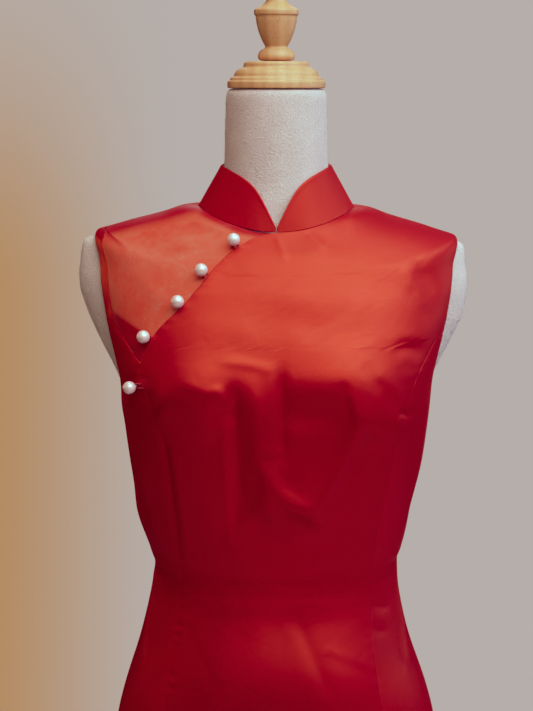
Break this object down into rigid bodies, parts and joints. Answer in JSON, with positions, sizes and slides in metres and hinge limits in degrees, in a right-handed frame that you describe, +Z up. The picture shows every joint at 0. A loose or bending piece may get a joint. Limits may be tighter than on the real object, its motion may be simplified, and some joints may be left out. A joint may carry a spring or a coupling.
{
  "type": "cheongsam dress on a dress form",
  "caption": "Sleeveless fitted cheongsam with stand collar, slanting flap, sheer yoke and pearl buttons, on a limbless dress form with turned wooden cap, pole and round base.",
  "frame": {"origin": "on the floor under the middle of the round base", "axes": "+Z up; -Y the way the dress's front faces; +X towards the viewer's right, the wearer's left"},
  "size_m": [0.4005, 0.38, 1.6434],
  "materials": {
    "red_satin": "red satin with a soft sheen",
    "red_organza": "sheer red organza",
    "white_jersey": "off-white brushed jersey cover",
    "beech_varnished": "turned beech under clear gloss varnish",
    "pearl": "white pearl lustre"
  },
  "bodies": {
    "root": {"front_panel": "red_satin", "side_front_right": "red_satin", "side_front_left": "red_satin", "back_panel": "red_satin", "yoke_panel": "red_organza", "armhole_band": "red_satin", "collar": "red_satin", "pearl_1": "pearl", "pearl_2": "pearl", "pearl_3": "pearl", "pearl_4": "pearl", "pearl_5": "pearl", "loop_1": "red_satin", "loop_2": "red_satin", "loop_3": "red_satin", "loop_4": "red_satin", "loop_5": "red_satin", "form_torso": "white_jersey", "neck_cap": "beech_varnished", "finial": "beech_varnished", "pole": "beech_varnished", "base": "beech_varnished"}
  },
  "joints": []
}
